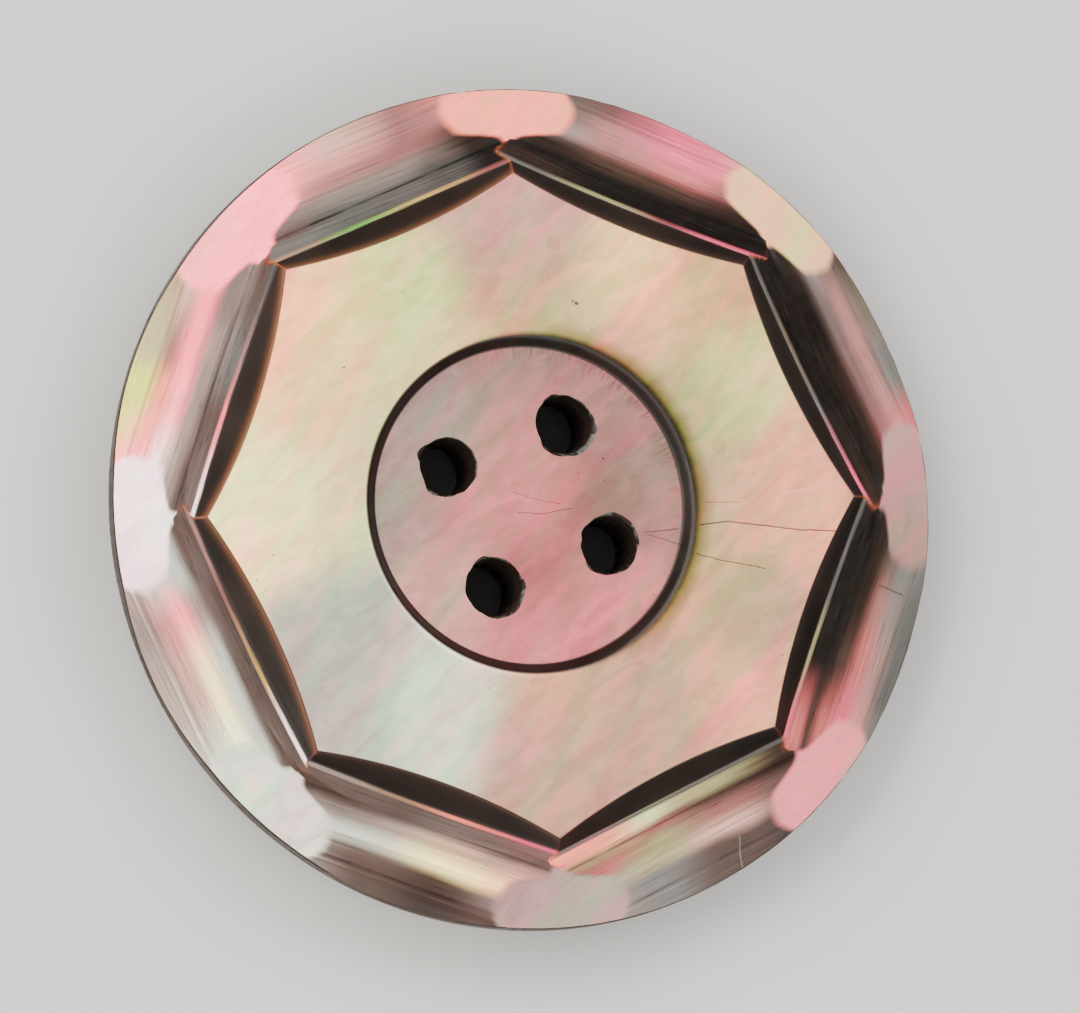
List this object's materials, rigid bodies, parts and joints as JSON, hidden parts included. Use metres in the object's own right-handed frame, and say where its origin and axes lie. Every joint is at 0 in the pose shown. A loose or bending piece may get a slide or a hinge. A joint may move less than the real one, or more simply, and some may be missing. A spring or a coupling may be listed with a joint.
{
  "type": "sew-through button",
  "caption": "Large round sew-through button carved from dark mother-of-pearl, with a sunken sewing well and wheel-cut grooves that leave a star-pointed face and a scalloped, bevelled rim.",
  "frame": {"origin": "centre of the flat back", "axes": "+Z out of the carved front, through the centre; +X towards the first point of the front face; +Y completes a right-handed frame"},
  "size_m": [0.038, 0.038, 0.004],
  "materials": {
    "shell": "polished dark mother-of-pearl with soft green and pink lustre"
  },
  "bodies": {
    "root": {"button_body": "shell"}
  },
  "joints": []
}
